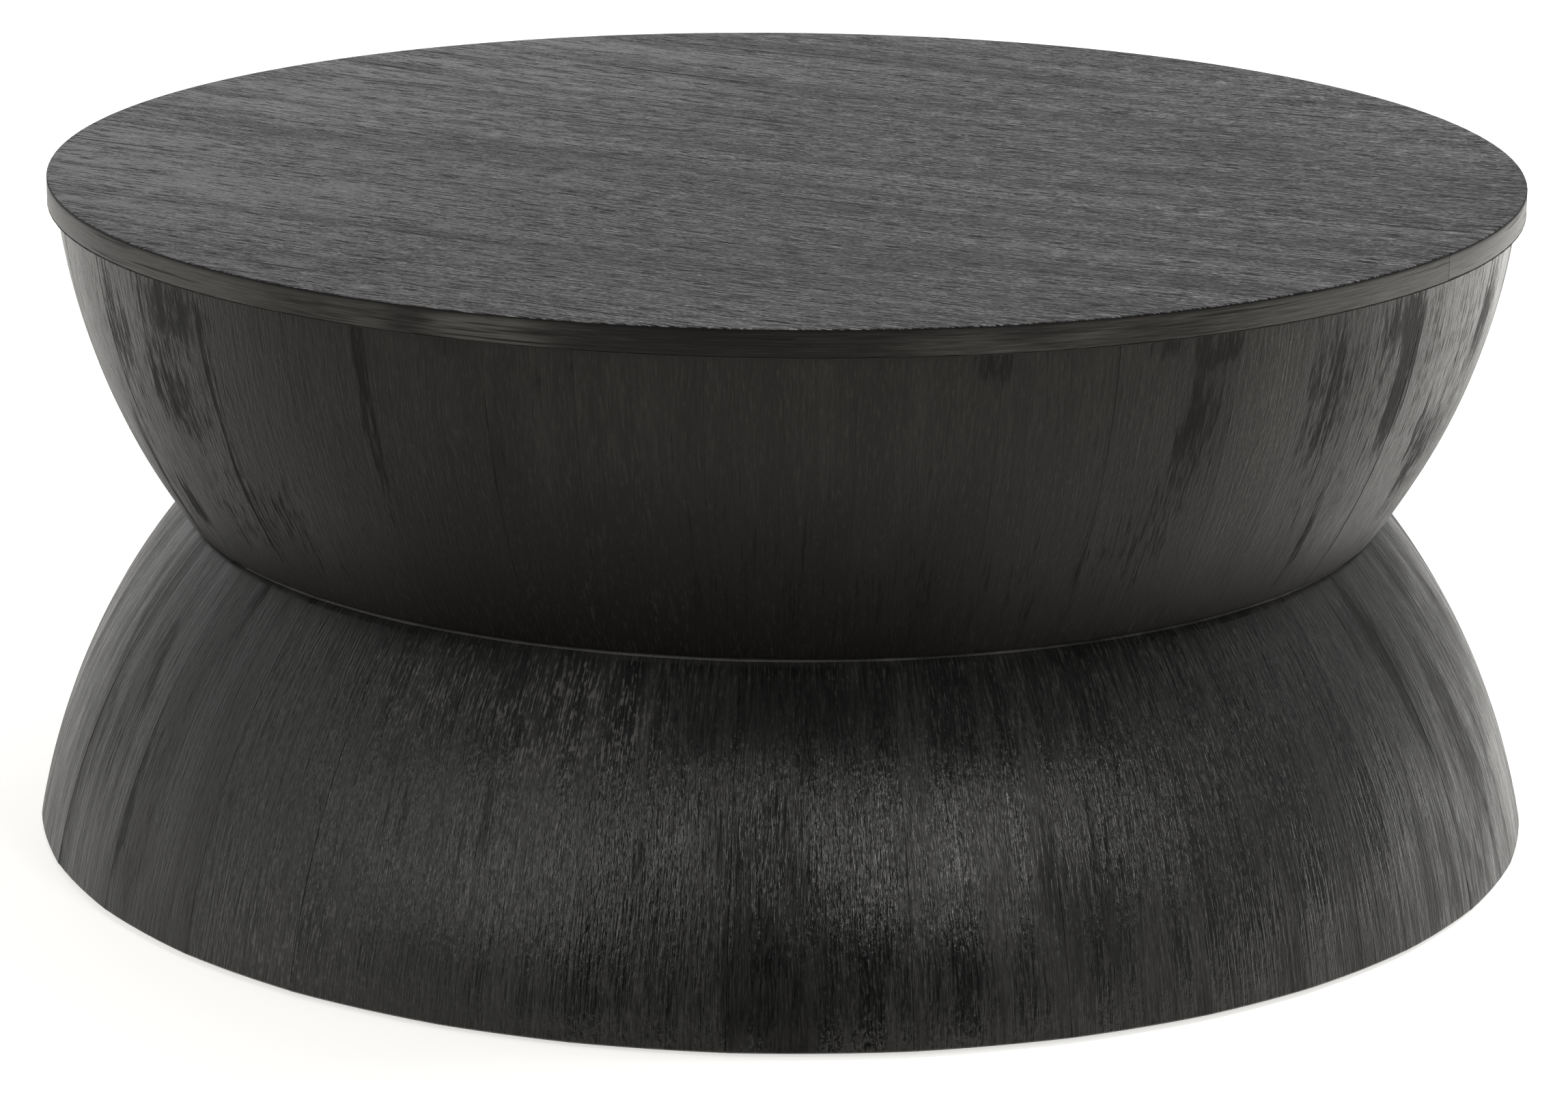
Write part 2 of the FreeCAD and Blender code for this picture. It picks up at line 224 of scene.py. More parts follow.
# Finish of each shell.
# Colours: stain in the grain's hollows, worn on its ridges, fleck over them by fleck_amount, which pale marks raise
# by pale_fleck. cover is the level at which the streak noise turns black, and the entry after it is painted shade:
# how far the tone darkens downwards.
# Roughness: rough, and what is added downwards, in bands, at the sides and in streaks.
# Gloss: its level and tint, how far the tint dulls in streaks (streak_dull), and how far it is darkened near the
# waist in front, a painted shade in the reflection.
# Noises: how fine and medium are stretched over a stave's width, length and seed.
# Relief: its depth, the share of the stain's peel in it, and what is left of it at the neck. The last entry sets a
# painted
# highlight: how strongly a pale glint is painted along the shell's top edge, where the bowl above meets it.
LOWER_LOOK = {
    "stain": (0.0028, 0.0028, 0.0028),
    "worn": (0.0125, 0.0122, 0.0116),
    "fleck": (0.055, 0.053, 0.050),
    "fleck_amount": 0.28,
    "cover": 0.580,
    "painted_shade_fall": 0.0,
    "rough": 0.05,
    "rough_fall": 0.0,
    "rough_bands": 0.14,
    "rough_sides": 0.22,
    "streak_rough": 0.12,
    "streak_dull": 0.75,
    "waist_painted_shade": 0.0,
    "pale_fleck": 6.0,
    "gloss": 0.30,
    "tint": (1.0, 0.985, 0.96),
    "fine": (900.0, 70.0, 1.0),
    "medium": (400.0, 26.0, 1.0),
    "peel": 0.20,
    "relief": 0.00028,
    "neck_relief": 0.10,
    # a painted highlight along the top edge
    "painted_highlight": 1.0,
}
UPPER_LOOK = {
    "stain": (0.0024, 0.0022, 0.0020),
    "worn": (0.0115, 0.0109, 0.0098),
    "fleck": (0.030, 0.028, 0.024),
    "fleck_amount": 0.22,
    "cover": 0.610,
    # painted shade: darker towards the waist
    "painted_shade_fall": -0.34,
    "rough": 0.19,
    "rough_fall": 0.30,
    "rough_bands": 0.0,
    "rough_sides": 0.0,
    "streak_rough": 0.40,
    "streak_dull": 0.30,
    # painted shade: the gloss darkened near the waist in front
    "waist_painted_shade": 0.52,
    "pale_fleck": 2.0,
    "gloss": 0.150,
    "tint": (1.0, 0.965, 0.905),
    "fine": (900.0, 80.0, 1.0),
    "medium": (420.0, 22.0, 1.0),
    "peel": 0.5,
    "relief": 0.00013,
    "neck_relief": 1.0,
    "painted_highlight": 0.0,
}

# Grain of the staves: noises as a stretch, detail and roughness, over the fibres or straight over the face
STAVE_FIBRE_NOISES = {
    "bands": ((60.0, 5.0, 1.0), 3.0, 0.6),
    "blotches": ((22.0, 5.5, 1.0), 2.0, 0.5),
}
STAVE_FACE_NOISES = {
    "patches": ((16.0, 7.0, 1.0), 2.0, 0.5),
    "peel": ((480.0, 260.0, 1.0), 2.0, 0.5),
}
FINE_DETAIL = (2.0, 0.6)
MEDIUM_DETAIL = (3.0, 0.7)
STAVE_WANDER_STRETCH = (14.0, 5.0, 1.0)
STAVE_WANDER = 0.010
MARK_SWAY = 5.0  # degrees
MARK_TEAR = 0.22  # share of the shell's height
STAVE_RAGGED = {"fine": 0.40, "medium": 0.35, "bands": 0.25}
STAVE_LEVEL = {"fine": 0.50, "bands": 0.50}
STAVE_SPECKS = {"fine": 0.60, "peel": 0.40}
DARK_PULL = 0.16
PALE_PULL = -0.12
PALE_LIFT = 0.06
STREAK_EDGE = 0.05
# Strength of the painted highlight's fainter band below the shell's top edge
PAINTED_HIGHLIGHT_FADE = 0.07
FINE_ROUGHNESS = 0.10
PATCH_ROUGHNESS = 0.06
FINE_RELIEF = 0.8
STREAK_RELIEF = -0.3
DULL_SHARE = 0.25
# Centre of the painted shade near the waist in front, in degrees
WAIST_ANGLE = -9.0

# Smooth steps: where each starts and ends, and what it gives there, unless that is 0 and 1 or comes from the look
STAVE_STEPS = {
    "behind": (66.0, 90.0),
    "blotch": (0.54, 0.70),
    "streak_grain": (0.38, 0.62, 1.0, 0.7),
    # where the painted shade downwards starts and where it is full
    "painted_shade_fall": (0.25, 1.0),
    "worn": (0.38, 0.68),
    "fleck": (0.52, 0.62),
    # Where the painted highlight along the shell's top edge lies, fades and breaks up
    "painted_highlight": (0.0075, 0.0105),
    "painted_highlight_fade": (0.012, 0.026),
    "painted_highlight_patches": (0.20, 0.65),
    "bare": (0.35, 0.65),
    "inside": (0.35, 0.75),
    "rough_grain": (0.35, 0.65),
    "rough_bands": (0.38, 0.62),
    "rough_sides": (48.0, 68.0),
    # Where the painted shade near the waist lies: down the shell, and to either side of the front
    "waist": (0.20, 0.80),
    "waist_width": (18.0, 31.0, 1.0, 0.0),
    "relief": (0.30, 0.70),
    "neck": (0.0, 0.12),
}

# Finish of the top. Towards the back left the veneer is painted paler, a painted sheen.
TOP_NOISES = {
    "speck": ((320.0, 800.0, 7.0), 1.0, 0.5),
    "fine": ((70.0, 700.0, 1.0), 2.0, 0.6),
    "coarse": ((24.0, 270.0, 3.0), 3.0, 0.7),
    "middle": ((7.0, 95.0, 6.0), 3.0, 0.65),
    "lines": ((3.5, 150.0, 4.0), 3.0, 0.6),
    "bands": ((1.8, 26.0, 2.0), 4.0, 0.62),
}
TOP_BEND = -0.12
TOP_WANDER_STRETCH = (2.2, 9.0, 1.0)
TOP_WANDER = 0.028
TOP_LEVEL = {"speck": 0.14, "fine": 0.22, "coarse": 0.20, "middle": 0.16, "bands": 0.28}
TOP_STRAND = {"fine": 0.60, "speck": 0.40}
TOP_CUT = {"fine": -0.55, "coarse": -0.45}
# Direction towards which the painted sheen grows
PAINTED_SHEEN_DIRECTION = (-0.85, 0.50, 0.0)
TOP_STEPS = {
    "worn": (0.455, 0.555),
    "filament": (0.50, 0.60, 0.0, 0.8),
    "filament_bands": (0.40, 0.60, 0.5, 1.0),
    # where the painted sheen towards the back left lies, and on which tones it shows
    "painted_sheen": (-0.02, 0.42, 0.0, 0.70),
    "painted_sheen_level": (0.45, 0.55, 0.1, 1.0),
    "pore": (-0.45, -0.39, 0.0, 0.9),
    "line": (0.62, 0.70, 0.0, 0.9),
    "rough": (0.35, 0.65),
    "relief": (0.30, 0.70),
}
TOP_LOOK = {
    "rough": 0.30,
    "rough_fine": 0.14,
    "rough_dark": 0.30,
    "rough_bands": 0.10,
    "gloss": 0.13,
    "relief": 0.00060,
    "relief_speck": 0.9,
    "relief_dark": -0.8,
}

# Finish of the lipping
LIPPING_NOISES = {
    "fine": ((1500.0, 40.0, 1.0), 3.0, 0.6),
    "bands": ((360.0, 7.0, 1.0), 3.0, 0.6),
    "patches": ((40.0, 6.0, 1.0), 2.0, 0.5),
}
LIPPING_SWAY = 9.0
LIPPING_MARK_PULL = -0.16
LIPPING_LEVEL = {"fine": 0.5, "bands": 0.5}
LIPPING_STREAK = {"bands": 1.0, "patches": 0.25}
LIPPING_STEPS = {
    "worn": (0.30, 0.86),
    "streak": (0.66, 0.80),
    "rim": (0.02, 0.20, 1.0, 0.0),
}
LIPPING_LOOK = {
    "rough": 0.26,
    "rough_fine": 0.2,
    "rough_streak": 0.2,
    "rough_rim": 0.3,
    "gloss": 0.14,
    "relief": 0.00022,
}

# Finish of the hidden parts
LOWER_PLY_STRETCH = (60.0, 6.0, 400.0)
UPPER_PLY_STRETCH = (6.0, 60.0, 400.0)
BOARD_STRETCH = (150.0, 150.0, 150.0)
BACKING_STRETCH = (60.0, 6.0, 60.0)
BLOCK_STRETCH = (20.0, 20.0, 160.0)
PLY_ROUGHNESS = 0.55
BOARD_ROUGHNESS = 0.7
BLOCK_ROUGHNESS = 0.6
PLAIN_FINENESS = 4.0
PLAIN_TONE = {"fine": 0.4, "bands": 0.6}
PLAIN_STEP = (0.35, 0.68)
PLAIN_GLOSS = 0.35
PLAIN_RELIEF = 0.0003
ZINC_NOISES = {
    "spots": ((900.0, 900.0, 900.0), 2.0, 0.5),
    "stains": ((150.0, 150.0, 150.0), 2.0, 0.5),
}
ZINC_STEP = (0.35, 0.7)
ZINC_ROUGHNESS = 0.25
ZINC_RELIEF = 0.0001
FELT_NOISES = {
    "fuzz": ((1600.0, 1600.0, 1600.0), 3.0, 0.7),
    "clumps": ((260.0, 260.0, 260.0), 2.0, 0.5),
}
FELT_TONE = {"fuzz": 0.6, "clumps": 0.4}
FELT_STEP = (0.35, 0.65)
FELT_ROUGHNESS = 0.88
FELT_SHEEN = 0.2
FELT_RELIEF = 0.0004

# Light. The dome's steps are along one axis of the direction that is looked in.
DOME_SIDE = 0.70
DOME_BACK = 0.67
DOME_LEFT_GAIN = 1.40
DOME_RIGHT_GAIN = 0.84
DOME_LOW_FRONT = 0.36
DOME_LOW_CENTRE = 0.03
DOME_HIGH_FRONT = 0.18
DOME_TOP = 0.22  # share of the back's
DOME_CENTRE_EDGE = (-1.0, -0.82)
DOME_FRONT_RISE = (0.45, 0.95)
DOME_SIDE_TO_BACK = (-0.30, 0.60)
DOME_BACK_FALL = (0.30, 0.80)
DOME_FRONT_TO_AROUND = (-0.90, -0.40)
DOME_LEFT_TO_RIGHT = (-0.40, 0.30)
FLOOR_TONE = 0.80
FLOOR_GLOW = 0.65
FLOOR_SEEN_TONE = 0.65
FLOOR_TINT = (1.0, 0.99, 0.96)
FLOOR_SIZE = 30.0
FLOOR_LEVEL = -0.0001  # just clear of the pads, so that no two faces share a plane

# Soft boxes: name, azimuth, elevation, distance, target, width, height, radiance, and whether gloss shows them
TABLE_MIDDLE = (0.0, 0.0, 0.2)
SOFTBOXES = (
    ("softbox_right", 28.5, 24.0, 2.6, TABLE_MIDDLE, 0.52, 1.25, 10.5, True),
    ("softbox_left", -38.5, 20.5, 2.6, TABLE_MIDDLE, 0.85, 1.40, 4.0, True),
    ("softbox_above", 180.0, 66.0, 4.0, TABLE_MIDDLE, 3.0, 3.0, 2.5, True),
    ("softbox_back_right", 122.0, 34.0, 2.2, TABLE_MIDDLE, 1.2, 0.8, 1.0, False),
    ("softbox_back_left", -125.0, 38.0, 2.3, TABLE_MIDDLE, 1.2, 0.8, 1.0, False),
    ("floor_light_right", 110.0, 75.0, 2.0, (1.35, 0.45, 0.0), 1.5, 1.5, 21.0, False),
)


def unit(x, z):
    """A direction of length 1."""
    length = math.hypot(x, z)
    return x / length, z / length


class Shell:
    """Outline of one coopered shell, and the places of its staves."""

    def __init__(self, mouth, neck, side_radius, rounding, first_joint, shares, flatness):
        self.flatness = flatness
        self.mouth = mouth
        self.neck = neck
        self.side_radius = side_radius
        self.rounding = rounding
        self.away = math.copysign(1.0, mouth[1] - neck[1])
        self.joints = [first_joint]
        for share in shares:
            self.joints.append(self.joints[-1] + 360.0 * share / sum(shares))

    def directions(self):
        along = unit(self.mouth[0] - self.neck[0], self.mouth[1] - self.neck[1])
        inward = (-abs(along[1]), self.away * along[0])
        return along, inward

    def outside(self):
        """Points of the curved side from the mouth to the neck, as radius and height."""
        along, inward = self.directions()
        half = math.dist(self.mouth, self.neck) / 2
        depth = math.sqrt(self.side_radius**2 - half**2)
        centre_r = (self.mouth[0] + self.neck[0]) / 2 + inward[0] * depth
        centre_z = (self.mouth[1] + self.neck[1]) / 2 + inward[1] * depth
        round_z = self.neck[1] + self.away * self.rounding
        reach = math.sqrt((self.side_radius - self.rounding)**2 - (round_z - centre_z)**2)
        round_r = centre_r + reach
        start = math.atan2(self.mouth[1] - centre_z, self.mouth[0] - centre_r)
        end = math.atan2(round_z - centre_z, round_r - centre_r)
        points = []
        after_ease = MOUTH_EASE / self.side_radius / abs(end - start)
        shares = [0.0, after_ease] + [number / SIDE_ROW_COUNT for number in range(1, SIDE_ROW_COUNT + 1)]
        for share in shares:
            turn = start + (end - start) * share
            r = centre_r + self.side_radius * math.cos(turn)
            z = centre_z + self.side_radius * math.sin(turn)
            points.append((r, z))
        last = -self.away * math.pi / 2
        for number in range(1, ROUNDING_ROW_COUNT + 1):
            turn = end + (last - end) * number / ROUNDING_ROW_COUNT
            r = round_r + self.rounding * math.cos(turn)
            z = round_z + self.rounding * math.sin(turn)
            points.append((r, z))
        return points

    def inner_radius(self, height):
        along, inward = self.directions()
        start_r = self.neck[0] + inward[0] * STAVE_WALL
        start_z = self.neck[1] + inward[1] * STAVE_WALL
        return start_r + along[0] * (height - start_z) / along[1]

    def inside(self):
        """Points of the neck's rabbet and the flat inner face, from the neck back to the mouth."""
        floor = self.neck[1] + self.away * RABBET_DEPTH
        return [
            (RABBET_RADIUS, self.neck[1]),
            (RABBET_RADIUS, floor),
            (self.inner_radius(floor), floor),
            (self.inner_radius(self.mouth[1]), self.mouth[1]),
        ]

    def staves(self):
        return list(zip(self.joints, self.joints[1:]))


def polar(radius, angle, height):
    """A point at an angle from the front."""
    turn = math.radians(angle)
    return Vector((radius * math.sin(turn), -radius * math.cos(turn), height))


def link(piece):
    bpy.context.scene.collection.objects.link(piece)
    return piece


def finished_mesh(name, bm, sharp_angle):
    """The mesh object of a bmesh, smooth but for its arrises."""
    bmesh.ops.recalc_face_normals(bm, faces=bm.faces)
    mesh = bpy.data.meshes.new(name)
    bm.to_mesh(mesh)
    bm.free()
    for polygon in mesh.polygons:
        polygon.use_smooth = True
    mesh.set_sharp_from_angle(angle=math.radians(sharp_angle))
    return link(bpy.data.objects.new(name, mesh))


def column_angles(start, end, ease_start, ease_end, radius):
    """Angles across a stave: its two joints, the inner ends of their easings, and even steps between."""
    first = start + math.degrees(ease_start / radius)
    last = end - math.degrees(ease_end / radius)
    inner = [first + (last - first) * number / STAVE_COLUMN_COUNT for number in range(STAVE_COLUMN_COUNT + 1)]
    return [start] + inner + [end]


def side_factor(angle, start, end, flatness):
    """Radius of a stave's outside, as a share of the outline over a joint."""
    half = math.radians(end - start) / 2
    off = math.radians(angle - (start + end) / 2)
    return ROUND_FACTOR + flatness * (off**2 / 2 - half**2 / 6)


def flat_factor(angle, start, end):
    """The same for a flat face between two joints."""
    return math.cos(math.radians(end - start) / 2) / math.cos(math.radians(angle - (start + end) / 2))


def add_stave(bm, layers, shell, start, end, eases, seed, tilt):
    """One stave as a closed loop of faces, with its grain and place written to its points."""
    outside = shell.outside()
    inside = shell.inside()
    angles = column_angles(start, end, eases[0], eases[1], shell.mouth[0])
    middle = (start + end) / 2
    height = abs(shell.mouth[1] - shell.neck[1])
    rows = []
    travel = 0.0
    previous = outside[0]
    profile = [(point, False) for point in outside] + [(point, True) for point in inside]
    for index, (point, is_inside) in enumerate(profile):
        travel += math.dist(previous, point)
        previous = point
        row = []
        for column, angle in enumerate(angles):
            radius = point[0]
            z = point[1]
            if is_inside:
                radius *= flat_factor(angle, start, end)
            else:
                radius *= side_factor(angle, start, end, shell.flatness)
                radius += tilt * 2 * (angle - middle) / (end - start)
                spot = Vector((seed * WAVE_SEED_STEP + angle * WAVES_IN_DEGREE, z * WAVES_IN_METRE, seed))
                radius += WAVE_HEIGHT * noise.noise(spot)
                if column == 0:
                    radius -= eases[0]
                if column == len(angles) - 1:
                    radius -= eases[1]
                if index == 0:
                    radius -= MOUTH_EASE
            vertex = bm.verts.new(polar(radius, angle, z))
            across = math.radians(angle - middle) * shell.mouth[0]
            vertex[layers[0]] = Vector((across, travel, seed))
            drop = (max(shell.mouth[1], shell.neck[1]) - z) / height
            vertex[layers[1]] = Vector((angle, drop, 1.0 if is_inside else 0.0))
            row.append(vertex)
        rows.append(row)
    for upper, lower in zip(rows, rows[1:] + rows[:1]):
        for column in range(len(angles) - 1):
            bm.faces.new((upper[column], upper[column + 1], lower[column + 1], lower[column]))
    bm.faces.new([row[0] for row in rows])
    bm.faces.new([row[-1] for row in reversed(rows)])


def is_listed(joint, open_joints):
    """Whether a joint is one of the open ones."""
    return any(abs(math.remainder(joint - known, 360.0)) < OPEN_JOINT_REACH for known in open_joints)


def make_staves(prefix, shell, open_joints, open_ease, material):
    """The staves of a shell, a piece for each node."""
    draw = random.Random(prefix)
    staves = shell.staves()
    for first in range(0, len(staves), STAVES_IN_NODE):
        bm = bmesh.new()
        layers = (bm.verts.layers.float_vector.new("grain"), bm.verts.layers.float_vector.new("place"))
        for number in range(first, first + STAVES_IN_NODE):
            start, end = staves[number]
            eases = [open_ease if is_listed(joint, open_joints) else JOINT_EASE for joint in (start, end)]
            seed = SEED_STEP * number + SEED_START
            tilt = draw.uniform(-STEP_AT_JOINT, STEP_AT_JOINT)
            add_stave(bm, layers, shell, start, end, eases, seed, tilt)
        number = first // STAVES_IN_NODE + 1
        piece = finished_mesh(f"{prefix}_planed_{number:02d}", bm, STAVE_SHARP_ANGLE)
        piece.data.materials.append(material)
        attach(piece, "root")
        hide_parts(f"{prefix}_{number:02d}")


def arris_points():
    """Rounded top arris from the face down to the side, as radius and height."""
    centre_r = TOP_RADIUS - ARRIS_ROUNDING
    centre_z = TOP_HEIGHT - ARRIS_ROUNDING
    points = []
    for number in range(ARRIS_ROW_COUNT + 1):
        turn = math.pi / 2 * (1 - number / ARRIS_ROW_COUNT)
        points.append((centre_r + ARRIS_ROUNDING * math.cos(turn), centre_z + ARRIS_ROUNDING * math.sin(turn)))
    return points


def make_veneer(material):
    """The top's face veneer, a sheet with its edge rounded over."""
    bm = bmesh.new()
    angles = [360.0 * number / VENEER_COLUMN_COUNT for number in range(VENEER_COLUMN_COUNT)]
    profile = [(VENEER_RING_STEP * number, TOP_HEIGHT) for number in range(1, VENEER_RING_COUNT + 1)]
    profile += [point for point in arris_points() if point[1] > VENEER_BOTTOM]
    profile += [(TOP_RADIUS - GLUE_LINE_SETBACK, VENEER_BOTTOM)]
    rings = [[bm.verts.new(polar(r, angle, z)) for angle in angles] for r, z in profile]
    centre_top = bm.verts.new((0.0, 0.0, TOP_HEIGHT))
    centre_bottom = bm.verts.new((0.0, 0.0, VENEER_BOTTOM))
    for number in range(len(angles)):
        after = (number + 1) % len(angles)
        bm.faces.new((centre_top, rings[0][number], rings[0][after]))
        bm.faces.new((centre_bottom, rings[-1][after], rings[-1][number]))
        for inner, outer in zip(rings, rings[1:]):
            bm.faces.new((inner[number], outer[number], outer[after], inner[after]))
    piece = finished_mesh("top_veneer_sheet", bm, SHARP_ANGLE)
    piece.data.materials.append(material)
    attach(piece, "root")
    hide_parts("top_face_veneer")


def lipping_profile():
    """Outline of a strip's section, from the glue line round by the outside, as radius and height."""
    profile = [(TOP_RADIUS - GLUE_LINE_SETBACK, VENEER_BOTTOM)]
    profile += [point for point in arris_points() if point[1] < VENEER_BOTTOM]
    for number in range(LOWER_ARRIS_ROW_COUNT + 1):
        turn = -math.pi / 2 * number / LOWER_ARRIS_ROW_COUNT
        r = TOP_RADIUS - LOWER_ARRIS + LOWER_ARRIS * math.cos(turn)
        z = BACKING_TOP + LOWER_ARRIS + LOWER_ARRIS * math.sin(turn)
        profile.append((r, z))
    return profile + [(LIPPING_INNER_RADIUS, BACKING_TOP), (LIPPING_INNER_RADIUS, VENEER_BOTTOM)]


def lipping_angles(joint):
    """Angles along a strip: its ends, the inner ends of their easings, and even steps between."""
    angles = [joint + LIPPING_GAP_ANGLE, joint + LIPPING_EASE_ANGLE]
    angles += [joint + 180.0 * step / LIPPING_COLUMN_COUNT for step in range(1, LIPPING_COLUMN_COUNT)]
    return angles + [joint + 180.0 - LIPPING_EASE_ANGLE, joint + 180.0 - LIPPING_GAP_ANGLE]


def add_lipping(bm, layers, joint, seed):
    """One strip from its joint half way round, with its grain and place written to its points."""
    whole_turns = 360.0 if joint > 180.0 else 0.0
    profile = lipping_profile()
    angles = lipping_angles(joint)
    sections = []
    for column, angle in enumerate(angles):
        at_end = column in (0, len(angles) - 1)
        section = []
        for r, z in profile:
            radius = r - LIPPING_EASE if at_end and r > LIPPING_MIDDLE_RADIUS else r
            vertex = bm.verts.new(polar(radius, angle, z))
            vertex[layers[0]] = Vector((z + (TOP_RADIUS - r), math.radians(angle - joint) * TOP_RADIUS, seed))
            vertex[layers[1]] = Vector((angle - whole_turns, (TOP_HEIGHT - z) / TOP_THICKNESS, 0.0))
            section.append(vertex)
        sections.append(section)
    for near, far in zip(sections, sections[1:]):
        for index in range(len(profile)):
            after = (index + 1) % len(profile)
            bm.faces.new((near[index], near[after], far[after], far[index]))
    bm.faces.new(list(reversed(sections[0])))
    bm.faces.new(sections[-1])


def make_lippings(material):
    """Two bent strips round the top, butted end to end."""
    for strip, joint in enumerate(LIPPING_JOINTS, start=1):
        bm = bmesh.new()
        layers = (bm.verts.layers.float_vector.new("grain"), bm.verts.layers.float_vector.new("place"))
        add_lipping(bm, layers, joint, LIPPING_SEED_STEP * strip)
        piece = finished_mesh(f"lipping_strip_{strip:02d}", bm, SHARP_ANGLE)
        piece.data.materials.append(material)
        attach(piece, "root")
        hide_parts(f"top_lipping_{strip:02d}")


class Graph:
    """The nodes of a material or of the world, with a short call for each kind."""

    def __init__(self, owner):
        owner.use_nodes = True
        self.owner = owner
        self.tree = owner.node_tree

    def put(self, socket, value):
        if isinstance(value, bpy.types.NodeSocket):
            self.tree.links.new(value, socket)
        elif isinstance(value, tuple) and len(value) == 3 and socket.type == "RGBA":
            socket.default_value = value + (1.0,)
        else:
            socket.default_value = value

    def set(self, name, value):
        """Give the shader a value or a socket."""
        self.put(self.tree.nodes["Principled BSDF"].inputs[name], value)

    def node(self, kind, *values, **named):
        """A new node with these inputs, by order or by name."""
        node = self.tree.nodes.new(kind)
        for key, value in [*enumerate(values), *named.items()]:
            self.put(node.inputs[key], value)
        return node

    def attribute(self, name):
        node = self.node("ShaderNodeAttribute")
        node.attribute_name = name
        return node.outputs["Vector"]

    def position(self):
        return self.node("ShaderNodeTexCoord").outputs["Object"]

    def parts(self, vector):
        return tuple(self.node("ShaderNodeSeparateXYZ", vector).outputs)

    def joined(self, x, y, z):
        return self.node("ShaderNodeCombineXYZ", x, y, z).outputs[0]

    def math(self, operation, first, second=0.0, third=0.0):
        node = self.node("ShaderNodeMath", first, second, third)
        node.operation = operation
        return node.outputs[0]

    def vector(self, operation, first, second=(0.0, 0.0, 0.0)):
        node = self.node("ShaderNodeVectorMath", first, second)
        node.operation = operation
        return node.outputs["Value"] if operation in ("LENGTH", "DOT_PRODUCT") else node.outputs[0]

    def total(self, *weighted, base=0.0):
        """A base, plus each socket times its weight."""
        for socket, weight in weighted:
            base = self.math("MULTIPLY_ADD", socket, weight, base)
        return base

    def mixed(self, noises, weights):
        """The noises that the weights name, added up by them."""
        return self.total(*((noises[name], weight) for name, weight in weights.items()))

    def shifted(self, base, noise, reach):
        """A base moved to either side by a noise, by half the reach at most."""
        return self.total((self.math("SUBTRACT", noise, 0.5), reach), base=base)

    def noise(self, vector, stretch, detail=2.0, roughness=0.5, distortion=0.0):
        """A noise over a vector that is stretched along its axes."""
        place = self.vector("MULTIPLY", vector, stretch)
        amounts = {"Scale": 1.0, "Detail": detail, "Roughness": roughness, "Distortion": distortion}
        return self.node("ShaderNodeTexNoise", Vector=place, **amounts).outputs[0]

    def noises(self, vector, table):
        """A noise for each row of a table of stretches, details and roughnesses."""
        return {name: self.noise(vector, *row) for name, row in table.items()}

    def remap(self, value, low, high, out_low=0.0, out_high=1.0):
        """A smooth step from one number or socket to another."""
        node = self.node("ShaderNodeMapRange", value, low, high, out_low, out_high)
        node.interpolation_type = "SMOOTHSTEP"
        return node.outputs[0]

    def blend(self, factor, first, second):
        """A mix of two colours."""
        node = self.node("ShaderNodeMix")
        node.data_type = "RGBA"
        self.put(node.inputs[0], factor)
        self.put(node.inputs[6], first)
        self.put(node.inputs[7], second)
        return node.outputs[2]

    def bump(self, height, distance, strength=1.0):
        return self.node("ShaderNodeBump", Strength=strength, Distance=distance, Height=height).outputs[0]

    def add_marks(self, place, marks):
        """The sum of soft oval marks at their angles and heights."""
        total = None
        for angle, drop, half_width, half_height, strength in marks:
            offset = self.vector("SUBTRACT", place, (angle, drop, 0.0))
            shaped = self.vector("MULTIPLY", offset, (1.0 / half_width, 1.0 / half_height, 0.0))
            mark = self.remap(self.vector("LENGTH", shaped), MARK_CORE, MARK_REACH, strength, 0.0)
            total = mark if total is None else self.math("ADD", total, mark)
        return total

    def seen_by_eye(self):
        """1 for camera, glossy and transmission rays."""
        rays = self.node("ShaderNodeLightPath").outputs
        mirrored = self.math("MAXIMUM", rays["Is Camera Ray"], rays["Is Glossy Ray"])
        return self.math("MAXIMUM", mirrored, rays["Is Transmission Ray"])


def material_graph(name):
    return Graph(bpy.data.materials.new(name))


def stave_noises(graph, look):
    """The noises of a stave's finish. Some follow its fibres, which wander a little across it."""
    grain = graph.attribute("grain")
    across, along, seed = graph.parts(grain)
    wander = graph.noise(grain, STAVE_WANDER_STRETCH, detail=1.0)
    fibre = graph.joined(graph.shifted(across, wander, STAVE_WANDER), along, seed)
    noises = graph.noises(fibre, STAVE_FIBRE_NOISES)
    noises.update(graph.noises(grain, STAVE_FACE_NOISES))
    noises["fine"] = graph.noise(fibre, look["fine"], *FINE_DETAIL)
    noises["medium"] = graph.noise(fibre, look["medium"], *MEDIUM_DETAIL)
    return noises


def stave_marks(graph, noises, marks, angle, drop):
    """The dark and the pale marks, with ragged ends, and blotches in their place behind."""
    sway = graph.shifted(angle, noises["bands"], MARK_SWAY)
    tear = graph.shifted(drop, noises["medium"], MARK_TEAR)
    marked = graph.add_marks(graph.joined(sway, tear, 0.0), marks)
    behind = graph.remap(graph.math("ABSOLUTE", angle), *STAVE_STEPS["behind"])
    blotch = graph.remap(noises["blotches"], *STAVE_STEPS["blotch"])
    dark = graph.math("MAXIMUM", marked, graph.math("MULTIPLY", behind, blotch))
    pale = graph.math("MAXIMUM", graph.math("MULTIPLY", marked, -1.0), 0.0)
    return dark, pale


def stave_streak(graph, noises, cover, dark, pale):
    """1 where the stain is matt and black."""
    ragged = graph.mixed(noises, STAVE_RAGGED)
    pull = graph.total((dark, DARK_PULL), (pale, PALE_PULL), base=ragged)
    streak = graph.remap(pull, cover - STREAK_EDGE, cover + STREAK_EDGE)
    return graph.math("MULTIPLY", streak, graph.remap(noises["fine"], *STAVE_STEPS["streak_grain"]))


